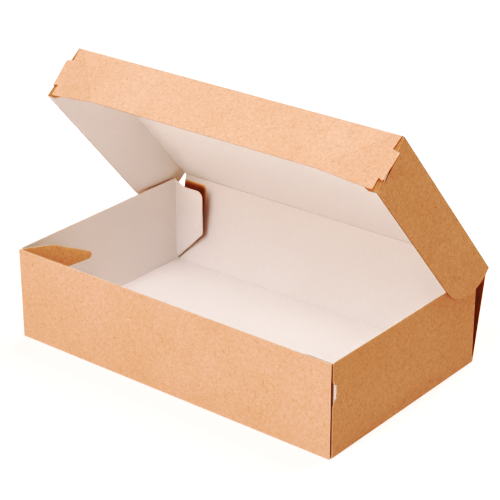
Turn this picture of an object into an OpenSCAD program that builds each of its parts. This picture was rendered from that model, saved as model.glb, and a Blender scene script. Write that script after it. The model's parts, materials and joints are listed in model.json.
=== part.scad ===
// Folded kraft dessert box: a shallow tray, a back wall and a hinged lid creased from one sheet.
// Millimetres. Origin at the centre of the tray's underside, X along the front, Y to the back.
// Every panel is drawn flat with its white face at z = 0 and its kraft face below, and is then
// folded up along its creases. The box stands open, with the back wall leaning out.

/* [Board] */
// Thickness of the board
board_t = 0.5; // [0.35:0.05:0.8]
// Slack between two layers of board that lie against each other
layer_gap = 0.1; // [0.05:0.05:0.3]

/* [Tray] */
// Outside width of the tray, along the front wall
tray_w = 230; // [160:1:320]
// Outside depth of the tray, from the front wall to the back wall
tray_d = 142; // [120:1:220]
// Outside height of the tray
tray_h = 58; // [50:1:80]
// How far the raw ends of the front and back walls stay short of the tray's sides
wall_short = 0.3; // [0.1:0.1:0.5]

/* [Front corner flaps of the tray] */
// Open gap between the front wall and the corner behind it
front_gap = 1.2; // [0.3:0.1:1.5]
// Reach of the flap from its crease to the tip of its tongue
front_flap_l = 42; // [36:1:50]
// Straight part of the flap's top edge, up to the start of its rounded shoulder
front_straight = 15; // [10:1:18]
// Radius of the shoulder
front_curve_r = 22; // [16:1:28]
// Angle by which the top edge falls away to the tongue
front_fall = 25; // [20:1:30]
// Radius of the tongue's tip
tongue_r = 2.8; // [1:0.1:3.5]
// How far the middle of the tip lies below the top of the walls
tongue_drop = 10.5; // [10:0.5:12]
// Reach of the flap where its chamfered foot runs into the tongue
tongue_root_l = 26; // [20:1:30]
// How far that point lies below the top of the walls
tongue_root_drop = 16.5; // [15:0.5:20]
// Angle by which the left flap has sprung away from the front wall
left_flap_spring = 58; // [0:1:70]
// Height of the slot that the locking lug is cut from, at the corner crease
lug_h = 14; // [8:1:18]
// Distance from the top of the tray down to the slot
lug_drop = 11.5; // [6:0.5:14]
// How far the lug stands out of the end wall
lug_out = 0.5; // [0.2:0.1:0.6]
// Depth of the slot that the lug leaves in the end wall
slot_d = 3.2; // [1.5:0.1:4]
// Height of the slot at its far side
slot_far_h = 8.6; // [6:0.1:12]
// Corner radius at that side
slot_r = 1.2; // [0.5:0.1:1.4]

/* [Rear corner flaps of the tray] */
// Gap between the flap and the back wall when the back wall is upright
rear_gap = 0.5; // [0.3:0.1:1.5]
// Width of the flap
rear_flap_l = 22.8; // [15:0.1:40]
// Height of the chamfer at the foot of the flap
rear_chamfer_h = 24; // [15:1:30]
// How far the top of the flap dips below the tray's walls
rear_dip = 4.2; // [2:0.1:8]
// Distance over which the top of the flap falls to its dip
rear_dip_l = 8; // [4:0.5:12]
// Radius of the flap's upper free corner
rear_flap_r = 4.5; // [1:0.1:7]

/* [Lid] */
// Depth of the lid's side flanges
side_flange_h = 34; // [28:1:45]
// Depth of the lid's front flange
front_flange_h = 33; // [27:1:44]
// Radius of the big rounded rear end of each side flange
flange_end_r = 32; // [15:1:40]
// Clearance between the tray's end walls and the lid's sides, at the crease
side_clear = 0.7; // [0.5:0.1:1.5]
// Clearance between the tray's front wall and the lid's corner flaps
front_clear = 1; // [0.8:0.1:1.5]
// Clearance between the tray's top edges and the closed lid
top_clear = 0.4; // [0.2:0.1:1]
// Angle by which each side flange flares outwards
side_flare = 2.5; // [2.5:0.1:5]
// Angle by which the middle of the front flange flares outwards
front_flare = 9; // [4:0.5:14]
// Reach of the lid's corner flaps behind the front flange
lid_flap_l = 26; // [20:1:45]
// Bevel at the upper free corner of a corner flap
lid_flap_bevel = 3; // [2:0.5:4]
// Height of the taper at the lower free corner of a corner flap
lid_flap_taper = 10; // [6:1:14]

/* [Corners of the front flange] */
// Distance from the lid's corner to the start of the diagonal crease
diag_inset = 5; // [5:0.1:8]
// Run of the diagonal crease along the front flange
diag_run = 31; // [25:1:50]
// Inset of the front flange's raw edge from the corner, at the top
edge_inset_top = 1.5; // [1:0.1:3]
// Further inset of that raw edge just above the ear
edge_notch = 1; // [0.5:0.1:2]
// Inset of the raw edge below the ear
edge_inset_low = 1.8; // [1:0.1:3]
// Distance from the top of the lid down to the ear
ear_drop = 8.3; // [6:0.1:12]
// Height of the ear along its root
ear_h = 17.6; // [10:0.1:18]
// How far the upper tip of the ear stands past the lid's corner
ear_out_top = 2.6; // [1:0.1:4]
// How far the lower tip of the ear stands past the lid's corner
ear_out_low = 1.4; // [0.5:0.1:4]
// How far the lower tip of the ear sags below its root
ear_sag = 1.1; // [0.4:0.1:2]
// Radius of the ear's upper tip
ear_r = 1.5; // [0.5:0.1:2]
// Width of the window behind the ear, to each side of the corner crease
window_w = 1.6; // [0.8:0.1:3]

/* [Pose] */
// Angle by which the back wall leans out
back_lean = 10; // [0:1:15]
// Angle of the open lid above level
lid_pitch = 49.5; // [0:0.5:90]

/* [Hidden] */
// Free play between a moving panel and the crease that it turns on
seam = 0.05;
// Cut that frees each end of a lug from the crease next to it
lug_cut = 0.15;
// Angle by which the skin of a crease runs on into each of its two panels
crease_key = 12;
// Reach of the bead that scoring raises inside a crease
bead = board_t * 0.3;
// Direction of the tongue's lower edge where its tip begins
tip_from = 165;
// Steps in the curve of a rear flap's dip
dip_steps = 4;
// Floor between its creases, and the walls above it
floor_w = tray_w - 2 * board_t;
floor_d = tray_d - 2 * board_t;
wall_h = tray_h - board_t;
wall_l = tray_w - 2 * wall_short;
// Corner creases of the end walls, as distances from the middle of the tray
end_front = floor_d / 2 - front_gap - board_t;
end_rear = floor_d / 2 - rear_gap - board_t;
lug_top = wall_h - lug_drop;
// Crease lines that the back wall and the lid turn on, with the box closed
hinge_y = tray_d / 2 - board_t / 2;
back_z = board_t / 2;
lid_z = tray_h + top_clear + board_t / 2;
back_h = lid_z - back_z;
// Lid between its creases, and the corner creases of its side flanges
lid_half = tray_w / 2 + side_clear;
lid_l = hinge_y + tray_d / 2 + front_clear + board_t + layer_gap;
side_l = lid_l - layer_gap - board_t;
corner_x = lid_half + board_t;
diag_x = corner_x - diag_inset;
fold_x = diag_x - diag_run;
// The flared middle of the front flange meets each corner triangle on the diagonal crease
flare_out = front_flange_h * sin(front_flare);
flare_h = front_flange_h * cos(front_flare);
side_turn = atan2(flare_out, diag_run);
triangle_l = norm([diag_run, flare_out]);

// Points along an arc
function arc(c, r, from, to, n = 10) =
    [for (i = [0:n]) c + r * [cos(from + (to - from) * i / n), sin(from + (to - from) * i / n)]];

// A flat panel of board, with its white face at z = 0
module panel() {
    translate([0, 0, -board_t]) linear_extrude(board_t) children();
}

// Turns a point of a folded panel's section back to the section of the panel before the crease
function folded(p, angle) = [p.x * cos(angle) - p.y * sin(angle), p.x * sin(angle) + p.y * cos(angle)];

// A crease along X, from x = a to x = b: rounded kraft skin outside, a slight bead inside
module crease(angle, a, b) {
    skin = arc([0, 0], board_t, crease_key - 90, angle - 90 - crease_key, max(1, round(angle / 20)));
    root = [-bead, -bead / 2];
    translate([a, 0, 0]) rotate([90, 0, 90]) linear_extrude(b - a)
        polygon(concat(
            [root, board_t * [-sin(crease_key), -cos(crease_key)]], skin,
            [folded(board_t * [sin(crease_key), -cos(crease_key)], angle), folded([-root.x, root.y], angle)]));
}

// Folds a panel up along a crease on the X axis, from x = a to x = b
module fold(angle, a, b) {
    crease(angle, a, b);
    rotate([angle, 0, 0]) children();
}

// Turns to a panel's own side edge at x, with the new X axis running up that edge
module at_low_edge(x) {
    translate([x, 0, 0]) rotate(90) children();
}

module at_high_edge(x) {
    mirror([1, 0, 0]) at_low_edge(-x) children();
}

// Front corner flap: full height at its crease, narrowing to a rounded tongue
module front_flap_outline() {
    foot = [wall_h - tongue_root_drop, tongue_root_l];
    tip = [wall_h - tongue_drop, front_flap_l - tongue_r];
    fall = [wall_h - board_t - front_curve_r, front_straight];
    polygon(concat(
        [[board_t, 0], foot],
        arc(tip, tongue_r, tip_from, front_fall),
        arc(fall, front_curve_r, front_fall, 0),
        [[wall_h - board_t, 0]]));
}

// Lug that the corner crease leaves standing, and the creases above and below it
module front_flap(spring, lug) {
    angle = 90 + spring;
    crease(angle, board_t, lug_top - lug_h);
    crease(angle, lug_top, wall_h - board_t);
    rotate([angle, 0, 0]) panel() {
        front_flap_outline();
        translate([lug_top - lug_h + lug_cut, -lug]) square([lug_h - 2 * lug_cut, lug + board_t]);
    }
}

// Rear corner flap: chamfered foot, rounded free corner and a dip next to its crease
module rear_flap_outline() {
    top = wall_h - rear_dip;
    polygon(concat(
        [[board_t, 0], [rear_chamfer_h, rear_flap_l]],
        arc([top - rear_flap_r, rear_flap_l - rear_flap_r], rear_flap_r, 90, 0),
        [for (i = [dip_steps:-1:0]) [wall_h - rear_dip * sin(90 * i / dip_steps), rear_dip_l * i / dip_steps]]));
}

// Slot in the end wall that the lug is cut from: full height at the crease, narrower at its far side
module lug_slot() {
    far = slot_r - slot_d;
    side = slot_far_h / 2 - slot_r;
    translate([end_front, lug_top - lug_h / 2]) polygon(concat(
        [[0, -lug_h / 2]], arc([far, -side], slot_r, 270, 180), arc([far, side], slot_r, 180, 90),
        [[0, lug_h / 2]]));
}

// Left end wall with its two corner flaps
module end_wall(spring, lug) {
    at_low_edge(-floor_w / 2) fold(90, -end_front, end_rear) mirror([1, 0, 0]) {
        panel() difference() {
            translate([-end_rear, 0]) square([end_rear + end_front, wall_h]);
            lug_slot();
        }
        at_low_edge(-end_rear) fold(90, board_t, wall_h) panel() rear_flap_outline();
        at_high_edge(end_front) front_flap(spring, lug);
    }
}

module tray() {
    color("peru") translate([0, 0, board_t]) {
        panel() translate([-floor_w / 2, -floor_d / 2]) square([floor_w, floor_d - seam]);
        translate([0, -floor_d / 2, 0]) rotate(180) fold(90, -floor_w / 2, floor_w / 2)
            panel() translate([-wall_l / 2, 0]) square([wall_l, wall_h]);
        end_wall(left_flap_spring, board_t);
        mirror([1, 0, 0]) end_wall(0, board_t + lug_out);
    }
}

// Back wall, free at both sides, with the crease at its foot
module back_wall() {
    color("burlywood") translate([0, hinge_y, back_z]) rotate([-back_lean, 0, 0])
        translate([-wall_l / 2, 0, 0]) rotate([90, 0, 90]) linear_extrude(wall_l)
            polygon(concat(arc([0, 0], board_t / 2, 180, 360),
                [[board_t / 2, back_h - board_t / 2 - seam], [-board_t / 2, back_h - board_t / 2 - seam]]));
}

// Left side flange with its big rounded rear end, its corner flap and the window between them
module side_flange() {
    window_low = ear_drop + ear_h;
    taper_h = side_flange_h - lid_flap_taper;
    at_low_edge(-lid_half) fold(90 - side_flare, 0, side_l) {
        panel() difference() {
            polygon(concat(
                [[side_l, 0], [side_l, side_flange_h]],
                arc([flange_end_r, side_flange_h - flange_end_r], flange_end_r, 90, 180, 24),
                [[0, 0]]));
            translate([side_l - window_w, ear_drop]) square([window_w + board_t, ear_h]);
        }
        at_high_edge(side_l) {
            crease(90, board_t, ear_drop);
            crease(90, window_low, side_flange_h);
            rotate([90, 0, 0]) panel() difference() {
                polygon([
                    [board_t, 0], [lid_flap_bevel, lid_flap_l - lid_flap_bevel],
                    [2 * lid_flap_bevel, lid_flap_l], [taper_h, lid_flap_l],
                    [side_flange_h, lid_flap_taper / 2], [side_flange_h, 0]]);
                translate([ear_drop, -board_t]) square([ear_h, window_w + board_t]);
            }
        }
    }
}

// Glued end of the front flange, with the ear that stands past the lid's corner
module flange_end_outline() {
    top_x = corner_x - edge_inset_top;
    low_x = corner_x - edge_inset_low;
    ear_low = ear_drop + ear_h;
    polygon(concat(
        [[diag_x - board_t, 0], [top_x, 0], [top_x - edge_notch, ear_drop]],
        arc([corner_x + ear_out_top - ear_r, ear_drop + ear_sag / 2 + ear_r], ear_r, -80, 0, 6),
        [[corner_x + ear_out_low, ear_low + ear_sag], [low_x, ear_low]],
        [[low_x, front_flange_h], [diag_x - board_t, front_flange_h]]));
}

// Triangle between the glued end and the flared middle, with the diagonal crease on its long side
module corner_triangle() {
    at_low_edge(diag_x) rotate([-side_turn, 0, 0]) {
        panel() polygon([[0, 0], [flare_h, triangle_l], [front_flange_h, 0]]);
        translate([0, 0, -board_t / 2]) rotate([0, 90, atan2(triangle_l, flare_h)])
            cylinder(h = norm([flare_h, triangle_l]) - board_t, r = board_t * 0.4, $fn = 16);
    }
}

module front_flange() {
    fold(90 - front_flare, -diag_x, diag_x)
        panel() polygon([[-diag_x, 0], [diag_x, 0], [fold_x, front_flange_h], [-fold_x, front_flange_h]]);
    for (side = [0, 1]) mirror([side, 0, 0]) fold(90, diag_x - board_t, corner_x - edge_inset_top) {
        panel() flange_end_outline();
        corner_triangle();
    }
}

module lid() {
    color("tan")
        translate([0, hinge_y + back_h * sin(back_lean), back_z + back_h * cos(back_lean)])
        rotate([180 - lid_pitch, 0, 0]) translate([0, 0, board_t / 2]) {
            panel() translate([-lid_half, 0]) square([2 * lid_half, lid_l]);
            translate([-lid_half, 0, -board_t / 2]) rotate([90, 0, 90]) linear_extrude(2 * lid_half)
                polygon(arc([0, 0], board_t / 2, 90, 270));
            side_flange();
            mirror([1, 0, 0]) side_flange();
            translate([0, lid_l, 0]) front_flange();
        }
}

tray();
back_wall();
lid();
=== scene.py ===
"""Looks of the kraft dessert box: kraft paper outside, white coating inside, raw cut edges.

Each CAD node is one folded sheet. It is copied here as a welded mesh, and each face of the copy
gets the paper that shows on it: kraft, white, a raw edge, or a crease on either side.
"""

import json
import math
from collections import Counter

import bmesh
import bpy
from mathutils import Euler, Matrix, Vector
from mathutils.bvhtree import BVHTree

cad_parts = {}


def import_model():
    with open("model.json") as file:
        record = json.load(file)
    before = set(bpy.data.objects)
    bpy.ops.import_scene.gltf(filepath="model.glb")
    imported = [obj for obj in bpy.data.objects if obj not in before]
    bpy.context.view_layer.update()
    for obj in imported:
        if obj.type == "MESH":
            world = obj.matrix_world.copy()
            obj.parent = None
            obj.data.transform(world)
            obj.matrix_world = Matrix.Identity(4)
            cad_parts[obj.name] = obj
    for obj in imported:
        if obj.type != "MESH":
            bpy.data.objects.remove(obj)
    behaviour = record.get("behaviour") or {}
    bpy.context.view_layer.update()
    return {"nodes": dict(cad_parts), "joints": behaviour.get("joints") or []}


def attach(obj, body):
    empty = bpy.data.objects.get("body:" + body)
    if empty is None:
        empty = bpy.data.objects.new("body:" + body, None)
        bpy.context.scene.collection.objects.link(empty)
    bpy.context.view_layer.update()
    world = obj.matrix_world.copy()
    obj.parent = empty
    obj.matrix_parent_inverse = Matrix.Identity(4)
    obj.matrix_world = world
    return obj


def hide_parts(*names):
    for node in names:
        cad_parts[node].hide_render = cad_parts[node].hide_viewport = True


MM = 0.001
# Corners nearer to each other than this are one corner, in metres
WELD = 1e-6
# Rays start this far off their face, so that they don't meet it, in metres
SKIN = 1e-5
# A ray into a sheet leaves it within this length, unless it starts on a raw edge
SHEET_DEPTH = 0.9 * MM
# Another layer within this distance covers a face
COVER_REACH = 1.6 * MM
# Two faces look in one direction when the cosine between them is above this
SAME_DIRECTION = 0.9998
# Faces that share one direction make up a panel when they cover this much together, in square metres
PANEL_AREA = 100 * MM * MM
# Faces this near to the axis that a sheet turns on belong to its crease
CREASE_REACH = 1.2 * MM
# Raw edges past this distance from the middle belong to the sides, whose paper is darkened as painted shade
SIDE_X = 114.5 * MM

# Middle of the tray's hollow
TRAY_MIDDLE = Vector((0, 0, 30)) * MM
# Angle of the open lid above level, and the way from its hinge to the middle of its hollow
LID_PITCH = math.radians(49.5)
ALONG_LID = 70 * MM
INTO_LID = 20 * MM
# The sprung front flap: its angle to the front wall, and the direction that its kraft side looks in
FLAP_SPRING = math.radians(58)
FLAP_OUT = Vector((math.sin(FLAP_SPRING), -math.cos(FLAP_SPRING), 0))
# Cosine above which a face looks along that direction
FLAP_SIDE = 0.999
# Place of the flap's crease, seen from above, and the reach of its bend
FLAP_CREASE = Vector((-114.5, -68.8)) * MM
FLAP_BEND = 0.8 * MM

# Painted shade on the back wall where the corner flaps shade it: its start from the middle, its top and its
# fade
SHADE_X = 96 * MM
SHADE_Z = 54.5 * MM
SHADE_FADE = 3.5 * MM
# At its foot the painted shade starts further out by this chamfer, less the slope times the height
CHAMFER = 20 * MM
CHAMFER_SLOPE = 0.95

# The floor lies this far below the box
FLOOR_GAP = 0.2 * MM
# Brightness that the white floor gives off
FLOOR_GLOW = 0.76
# Distance from the box to the studio's walls, and their height, in metres
FLOOR_REACH = 12
WALL_RISE = 2.0
# Scene brightness and the brightness shown for it
TONE_CURVE = [(0.0, 0.0), (0.18, 0.06), (0.295, 0.23), (0.38, 0.37), (0.6, 0.63), (0.76, 0.81), (1.0, 1.0)]


class Paper:
    """A Principled material, with short ways to add the nodes of its colour and relief."""

    def __init__(self, name, roughness, specular):
        self.material = bpy.data.materials.new(name)
        self.material.use_nodes = True
        self.tree = self.material.node_tree
        self.shader = self.tree.nodes["Principled BSDF"]
        self.shader.inputs["Roughness"].default_value = roughness
        self.shader.inputs["Specular IOR Level"].default_value = specular
        self.place = self.tree.nodes.new("ShaderNodeTexCoord").outputs["Object"]

    def plug(self, socket, value):
        """Link the socket to another one, or set it to a plain value."""
        if isinstance(value, bpy.types.NodeSocket):
            self.tree.links.new(value, socket)
        else:
            socket.default_value = value

    def add(self, kind, inputs, **settings):
        node = self.tree.nodes.new(kind)
        for name, value in settings.items():
            setattr(node, name, value)
        for name, value in inputs.items():
            self.plug(node.inputs[name], value)
        return node

    def math(self, operation, a, b=0.0):
        return self.add("ShaderNodeMath", {0: a, 1: b}, operation=operation).outputs[0]

    def remap(self, value, low, high, to_low=0.0, to_high=1.0):
        """The value carried from one range to another, and held inside it."""
        inputs = {"Value": value, "From Min": low, "From Max": high, "To Min": to_low, "To Max": to_high}
        return self.add("ShaderNodeMapRange", inputs, clamp=True).outputs["Result"]

    def noise(self, period, detail=2.0, roughness=0.5, distortion=0.0):
        """Noise whose blotches are about one period across, in metres."""
        inputs = {
            "Vector": self.place,
            "Scale": 1 / period,
            "Detail": detail,
            "Roughness": roughness,
            "Distortion": distortion,
        }
        return self.add("ShaderNodeTexNoise", inputs).outputs["Fac"]

    def blotches(self, period, start, full, share=1.0, **grain):
        """Soft blotches: 0 where the noise is below start, and up to the share where it is above full."""
        return self.remap(self.noise(period, **grain), start, full, 0.0, share)

    def fibres(self, period, width):
        """Thin curled lines, like single fibres: 1 on a fibre and 0 beside it."""
        curl = self.noise(period, detail=1.0, distortion=1.5)
        offset = self.math("ABSOLUTE", self.math("SUBTRACT", curl, 0.5))
        return self.remap(offset, 0.0, width, 1.0, 0.0)

    def specks(self, spacing, size, share):
        """Small dots in a share of the cells of a random pattern: 1 on a dot and 0 beside it."""
        cells = self.add("ShaderNodeTexVoronoi", {"Vector": self.place, "Scale": 1 / spacing})
        dot = self.remap(cells.outputs["Distance"], size * 0.5, size, 1.0, 0.0)
        lottery = self.add("ShaderNodeSeparateColor", {"Color": cells.outputs["Color"]}).outputs["Red"]
        return self.math("MULTIPLY", dot, self.math("LESS_THAN", lottery, share))

    def blend(self, factor, a, b):
        """Colour a where the factor is 0, and colour b where it is 1."""
        mix = self.add("ShaderNodeMix", {0: factor}, data_type="RGBA")
        # The node has sockets for every data type, and these three are its colours
        for socket, colour in ((mix.inputs[6], a), (mix.inputs[7], b)):
            self.plug(socket, (*colour, 1.0) if isinstance(colour, tuple) else colour)
        return mix.outputs[2]

    def print_on(self, colour, pattern, share, ink):
        """The colour with a share of the ink over it where the pattern is 1."""
        return self.blend(self.math("MULTIPLY", pattern, share), colour, ink)

    def relief(self, height, depth, strength):
        bump = self.add("ShaderNodeBump", {"Height": height, "Distance": depth, "Strength": strength})
        self.plug(self.shader.inputs["Normal"], bump.outputs["Normal"])

    def finish(self, colour):
        self.plug(self.shader.inputs["Base Color"], colour)
        return self.material


def kraft_paper(name, base, light, dark, fleck):
    """Uncoated kraft: clouds and mottles, a fine grain of fibres, and a few dark flecks of bark."""
    paper = Paper(name, roughness=0.82, specular=0.2)
    cloud = paper.blotches(38 * MM, start=0.35, full=0.65, share=0.4, detail=3.0)
    mottle = paper.blotches(2.1 * MM, start=0.36, full=0.64, share=0.52, detail=4.0, roughness=0.65)
    grain = paper.blotches(1.0 * MM, start=0.40, full=0.64, share=0.45, detail=3.0, roughness=0.7)
    colour = paper.blend(cloud, base, light)
    colour = paper.blend(mottle, colour, dark)
    colour = paper.blend(grain, colour, light)
    colour = paper.print_on(colour, paper.fibres(4.5 * MM, width=0.02), 0.45, light)
    colour = paper.print_on(colour, paper.fibres(2.6 * MM, width=0.02), 0.5, fleck)
    colour = paper.print_on(colour, paper.specks(3.0 * MM, size=0.17, share=0.3), 0.4, fleck)
    height = paper.math("ADD", grain, paper.fibres(3.1 * MM, width=0.03))
    paper.relief(height, depth=0.05 * MM, strength=0.7)
    return paper.finish(colour)


def coated_colour(paper, base, light, dark):
    """Smooth white, with a faint cloudiness and the board's grain just showing through."""
    cloud = paper.blotches(30 * MM, start=0.3, full=0.7, share=0.5)
    grain = paper.blotches(1.3 * MM, start=0.35, full=0.7, share=0.45, detail=3.0, roughness=0.65)
    colour = paper.blend(cloud, base, light)
    colour = paper.blend(grain, colour, dark)
    paper.relief(paper.noise(1.6 * MM, detail=3.0), depth=0.03 * MM, strength=0.4)
    return paper.print_on(colour, paper.specks(9 * MM, size=0.05, share=0.2), 0.35, dark)


def coated_paper(name, base, light, dark):
    paper = Paper(name, roughness=0.55, specular=0.25)
    return paper.finish(coated_colour(paper, base, light, dark))


def painted_shade_paper(name, coat, rim, deep_shade):
    """Coated side of the back wall, with painted shade behind the corner flaps: an orange rim and a dark
    core.
    """
    paper = Paper(name, roughness=0.6, specular=0.2)
    place = paper.add("ShaderNodeSeparateXYZ", {"Vector": paper.place}).outputs
    end = paper.math("ABSOLUTE", place["X"])
    rise = paper.math("MULTIPLY", place["Z"], CHAMFER_SLOPE)
    past_chamfer = paper.math("ADD", rise, paper.math("SUBTRACT", end, CHAMFER))
    sides = paper.remap(paper.math("MINIMUM", end, past_chamfer), SHADE_X, SHADE_X + SHADE_FADE)
    below = paper.remap(place["Z"], SHADE_Z - SHADE_FADE, SHADE_Z, 1.0, 0.0)
    shade_mask = paper.math("MULTIPLY", sides, below)
    mottle = paper.remap(paper.noise(2.6 * MM, detail=3.0, roughness=0.6), 0.34, 0.66, 0.8, 1.0)
    # Painted shade: the orange rim colour comes in first, then the mottled dark core
    colour = paper.blend(paper.remap(shade_mask, 0.0, 0.5), coated_colour(paper, *coat), rim)
    return paper.finish(paper.print_on(colour, mottle, paper.remap(shade_mask, 0.3, 1.0), deep_shade))


def cut_edge(name, core, layer):
    """Raw edge of the board: pale core fibres with darker streaks where the blade crushed them."""
    paper = Paper(name, roughness=0.9, specular=0.15)
    streak = paper.blotches(0.7 * MM, start=0.35, full=0.7, detail=3.0, roughness=0.7)
    crushed = paper.blotches(6 * MM, start=0.4, full=0.7, share=0.5)
    colour = paper.blend(streak, core, layer)
    colour = paper.blend(crushed, colour, layer)
    paper.relief(streak, depth=0.05 * MM, strength=0.8)
    return paper.finish(colour)


def make_papers():
    """Every paper by its use. A kraft's colours are base, light, dark and fleck, and a coat has no fleck."""
    kraft = ((0.585, 0.34, 0.235), (0.665, 0.42, 0.315), (0.49, 0.265, 0.165), (0.33, 0.15, 0.07))
    # Painted light: a lighter copy of the kraft for the sprung flap, standing in for light the lamps don't
    # give it
    flap = ((0.76, 0.45, 0.295), (0.82, 0.53, 0.38), (0.64, 0.36, 0.22), (0.45, 0.22, 0.10))
    # Painted shade: darker kraft for faces that lie close behind another layer
    covered = ((0.39, 0.20, 0.125), (0.45, 0.245, 0.16), (0.33, 0.16, 0.095), (0.24, 0.10, 0.045))
    worn = ((0.50, 0.28, 0.175), (0.62, 0.39, 0.28), (0.42, 0.215, 0.12), (0.28, 0.12, 0.05))
    coat = ((0.92, 0.855, 0.82), (0.94, 0.885, 0.86), (0.88, 0.79, 0.735))
    creased_coat = ((0.89, 0.84, 0.81), (0.92, 0.88, 0.86), (0.84, 0.77, 0.72))
    return {
        "kraft": kraft_paper("kraft_outside", *kraft),
        "kraft_flap_painted_light": kraft_paper("kraft_flap_painted_light", *flap),
        "kraft_painted_shade": kraft_paper("kraft_painted_shade", *covered),
        "kraft_crease": kraft_paper("kraft_crease", *worn),
        "white": coated_paper("white_inside", *coat),
        # Painted shade behind the corner flaps on the back wall: its rim and dark core colours
        "white_painted_shade": painted_shade_paper("white_painted_shade", coat, (0.74, 0.43, 0.16), (0.45, 0.175, 0.075)),
        "white_crease": coated_paper("white_crease", *creased_coat),
        "tray_edge": cut_edge("tray_raw_edge", (0.88, 0.76, 0.66), (0.74, 0.57, 0.45)),
        # The lid's edge is darker than the tray's, partly for the board's brown core and partly as painted
        # shade
        "lid_edge": cut_edge("lid_raw_edge", (0.60, 0.37, 0.25), (0.46, 0.26, 0.16)),
        # Painted shade: the lid's side edges are darkest
        "side_edge_painted_shade": cut_edge("lid_side_raw_edge_painted_shade", (0.34, 0.18, 0.10), (0.25, 0.12, 0.06)),
    }


def looks_at(point):
    """A test for faces that look towards this point."""
    return lambda middle, normal: (point - middle).dot(normal) > 0


def tray_shows_white(middle, normal):
    """Test for the tray's white side. The sprung flap turns its kraft side to the middle of the tray."""
    along_flap = normal.dot(FLAP_OUT)
    if abs(along_flap) > FLAP_SIDE:
        return along_flap < 0
    in_bend = (middle.xy - FLAP_CREASE).length < FLAP_BEND
    upright = abs(normal.z) < 0.5
    if in_bend and upright:
        # The inner side of the bend looks back, into the tray
        return normal.y > 0.3
    return looks_at(TRAY_MIDDLE)(middle, normal)


def panel_directions(mesh):
    """Directions that the faces of whole panels look in, each counted once."""
    found = []
    for face in mesh.faces:
        match = next((entry for entry in found if entry[0].dot(face.normal) > SAME_DIRECTION), None)
        if match is None:
            match = [face.normal.copy(), 0.0]
            found.append(match)
        match[1] += face.calc_area()
    return [direction for direction, area in found if area > PANEL_AREA]


def plane_of(face):
    """Direction and offset of the plane that a face lies in, rounded so that a panel's faces agree."""
    offset = face.normal.dot(face.verts[0].co)
    return (*(round(value, 2) for value in face.normal), round(offset / MM, 1))


def meets_sheet(tree, face, direction, reach):
    """Whether a ray from the middle of a face meets the sheet again within this reach."""
    start = face.calc_center_median() + direction * SKIN
    return tree.ray_cast(start, direction, reach)[0] is not None


def covered_planes(mesh, tree):
    """Planes whose faces mostly lie close behind another layer of the same sheet."""
    area, hidden = Counter(), Counter()
    for face in mesh.faces:
        plane = plane_of(face)
        area[plane] += face.calc_area()
        if meets_sheet(tree, face, face.normal, COVER_REACH):
            hidden[plane] += face.calc_area()
    return {plane for plane in area if hidden[plane] > area[plane] / 2}


def on_crease(face, axes):
    """Whether a face lies on the crease around one of these axes, and isn't the crease's flat end."""
    middle = face.calc_center_median()
    near = any(math.hypot(middle.y - y, middle.z - z) < CREASE_REACH for y, z in axes)
    return near and abs(face.normal.x) < 0.5


def lay_papers(mesh, names, shows_white, axes, white, edges, flap_out):
    """Give each face of a sheet the number of the paper that shows on it."""
    tree = BVHTree.FromBMesh(mesh)
    panels = panel_directions(mesh)
    covered = covered_planes(mesh, tree)
    for face in mesh.faces:
        middle = face.calc_center_median()
        side = "white" if shows_white(middle, face.normal) else "kraft"
        if not meets_sheet(tree, face, -face.normal, SHEET_DEPTH) and not on_crease(face, axes):
            # Painted shade: raw edges out at the sides take the darker second paper
            paper = edges[abs(middle.x) > SIDE_X]
        elif not any(direction.dot(face.normal) > SAME_DIRECTION for direction in panels):
            paper = side + "_crease"
        elif side == "white":
            paper = white
        # Painted light: the sprung flap's kraft side gets the lighter kraft
        elif flap_out is not None and face.normal.dot(flap_out) > FLAP_SIDE:
            paper = "kraft_flap_painted_light"
        # Painted shade on kraft that lies close behind another layer
        elif plane_of(face) in covered:
            paper = "kraft_painted_shade"
        else:
            paper = "kraft"
        face.material_index = names.index(paper)


def dress(
    cad, body, papers, shows_white, axes, white="white", edges=("tray_edge", "tray_edge"), flap_out=None
):
    """A copy of a CAD sheet with the right paper on each face.

    axes are the lines along X that the sheet turns on, as Y and Z. edges are the papers of the
    raw edges between the sides and out at the sides. flap_out is the direction that the kraft
    side of the sprung front flap looks in.
    """
    mesh = bmesh.new()
    mesh.from_mesh(cad.data)
    bmesh.ops.remove_doubles(mesh, verts=mesh.verts, dist=WELD)
    mesh.normal_update()
    lay_papers(mesh, list(papers), shows_white, axes, white, edges, flap_out)
    data = bpy.data.meshes.new(cad.name + "_sheet")
    mesh.to_mesh(data)
    mesh.free()
    for paper in papers.values():
        data.materials.append(paper)
    sheet = bpy.data.objects.new(cad.name + "_sheet", data)
    bpy.context.scene.collection.objects.link(sheet)
    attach(sheet, body)
    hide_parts(cad.name)


def make_floor():
    """Plain white floor with far walls. A glow of its own keeps it white under the box's soft shadow."""
    paper = Paper("studio_floor", roughness=0.9, specular=0.0)
    tone = paper.blotches(0.4, start=0.3, full=0.7, detail=1.0)
    colour = paper.blend(tone, (0.30, 0.30, 0.30), (0.32, 0.32, 0.32))
    paper.shader.inputs["Emission Color"].default_value = (1.0, 0.92, 0.88, 1.0)
    paper.shader.inputs["Emission Strength"].default_value = FLOOR_GLOW
    data = bpy.data.meshes.new("floor")
    square = [(-1, -1), (1, -1), (1, 1), (-1, 1)]
    corners = [(x * FLOOR_REACH, y * FLOOR_REACH, z) for z in (0, WALL_RISE) for x, y in square]
    walls = [(i, (i + 1) % 4, (i + 1) % 4 + 4, i + 4) for i in range(4)]
    data.from_pydata(corners, [], [(0, 1, 2, 3), *walls])
    data.materials.append(paper.finish(colour))
    floor = bpy.data.objects.new("floor", data)
    floor.location.z = -FLOOR_GAP
    bpy.context.scene.collection.objects.link(floor)


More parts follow.
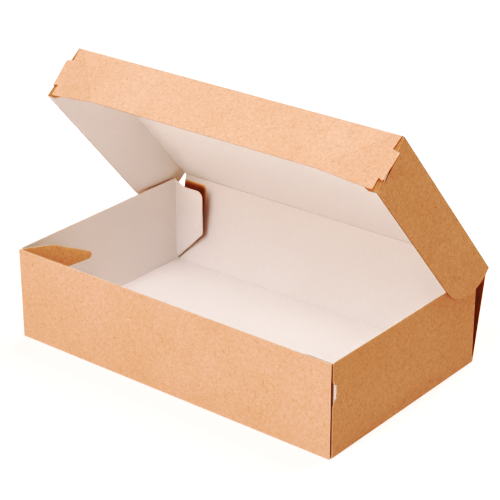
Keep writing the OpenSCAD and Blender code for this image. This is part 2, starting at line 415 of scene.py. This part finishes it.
def area_light(name, place, aim, size, power, colour):
    """A round lamp that looks from its place to the point that it is aimed at."""
    light = bpy.data.lights.new(name, "AREA")
    light.shape = "DISK"
    light.size = size
    light.energy = power
    light.color = colour
    lamp = bpy.data.objects.new(name, light)
    lamp.location = place
    lamp.rotation_mode = "QUATERNION"
    lamp.rotation_quaternion = (Vector(aim) - Vector(place)).to_track_quat("-Z", "Y")
    bpy.context.scene.collection.objects.link(lamp)


def make_light():
    """Warm light from all around, a soft key in front, a rim behind, a low fill and a small side light."""
    world = bpy.data.worlds.new("studio")
    world.use_nodes = True
    background = world.node_tree.nodes["Background"]
    background.inputs["Color"].default_value = (1.0, 0.70, 0.47, 1.0)
    background.inputs["Strength"].default_value = 0.21
    bpy.context.scene.world = world
    area_light("key", (0.0, -1.5, 1.92), (0, 0, 0.05), size=1.2, power=34, colour=(0.92, 1.0, 1.09))
    area_light("rim", (0.1, 1.3, 2.6), (0, 0, 0.1), size=1.5, power=76, colour=(0.88, 1.0, 0.97))
    area_light("fill", (-0.2, -1.9, 0.6), (0, 0, 0.06), size=1.2, power=12, colour=(1.0, 0.97, 0.93))
    area_light("side", (1.6, -0.5, 1.3), (0, 0, 0.06), size=0.5, power=4, colour=(1.0, 0.80, 0.60))


def make_tone():
    """The contrast of a product photo: darker, warmer shades, and whites left as they are."""
    view = bpy.context.scene.view_settings
    view.view_transform = "Standard"
    view.use_curve_mapping = True
    # The first three curves are red, green and blue, and this one is for all of them
    curve = view.curve_mapping.curves[3]
    for place in TONE_CURVE[1:-1]:
        curve.points.new(*place)
    view.curve_mapping.update()


def make_camera():
    """The photo's camera, found by fitting thirteen corners of the box."""
    focal_length, picture_width = 1770.6, 500  # both in pixels
    azimuth, elevation, roll = (math.radians(angle) for angle in (38.807, 24.797, -0.093))
    data = bpy.data.cameras.new("camera")
    data.sensor_width = 36.0
    data.lens = focal_length * data.sensor_width / picture_width
    data.clip_start = 0.05
    camera = bpy.data.objects.new("camera", data)
    camera.location = (0.588824, -0.727525, 0.497133)
    turn = Euler((math.pi / 2 - elevation, 0, azimuth), "XYZ").to_matrix()
    camera.rotation_euler = (turn @ Euler((0, 0, roll), "XYZ").to_matrix()).to_euler()
    bpy.context.scene.collection.objects.link(camera)
    bpy.context.scene.camera = camera


def joint_place(frame, name):
    """Y and Z of the axis of a joint. All of them run along X."""
    place = next(joint for joint in frame["joints"] if joint["name"] == name)["pos_m"]
    return place[1], place[2]


def lid_middle(hinge):
    """Middle of the open lid's hollow: from the hinge along the lid, and then down into it."""
    along = Vector((0, -math.cos(LID_PITCH), math.sin(LID_PITCH)))
    down = Vector((0, -math.sin(LID_PITCH), -math.cos(LID_PITCH)))
    return Vector((0, *hinge)) + ALONG_LID * along + INTO_LID * down


def main():
    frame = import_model()
    papers = make_papers()
    hinge = joint_place(frame, "lid_hinge")
    foot = joint_place(frame, "back_fold")
    nodes = frame["nodes"]
    dress(nodes["tray"], "tray", papers, tray_shows_white, [foot], flap_out=FLAP_OUT)
    dress(nodes["back_wall"], "back_wall", papers, looks_at(TRAY_MIDDLE), [foot, hinge], "white_painted_shade")
    dress(nodes["lid"], "lid", papers, looks_at(lid_middle(hinge)), [hinge], edges=("lid_edge", "side_edge_painted_shade"))
    make_floor()
    make_light()
    make_tone()
    make_camera()


main()
